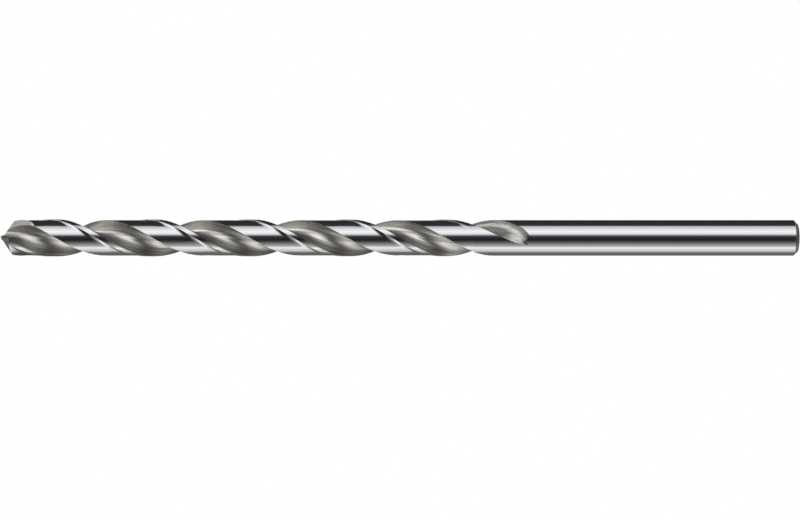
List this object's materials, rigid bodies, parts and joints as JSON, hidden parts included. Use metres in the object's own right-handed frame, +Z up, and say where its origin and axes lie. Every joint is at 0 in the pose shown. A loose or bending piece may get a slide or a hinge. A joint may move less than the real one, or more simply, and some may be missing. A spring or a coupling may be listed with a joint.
{
  "type": "twist drill bit",
  "caption": "Long-series ground steel twist drill bit with helical flutes, narrow margins, a split point and a plain straight shank.",
  "frame": {"origin": "centre of the shank's flat end face, on the drill's axis", "axes": "+X along the drill's axis from the point to the shank's end, so the point is at X = -0.156; +Z up as it lies; +Y completes a right-handed frame"},
  "size_m": [0.156, 0.0072, 0.0072],
  "materials": {
    "ground_steel": "bright ground high speed steel, uncoated, shank and lands polished, flutes satin"
  },
  "bodies": {
    "root": {"drill_bit": "ground_steel"}
  },
  "joints": []
}
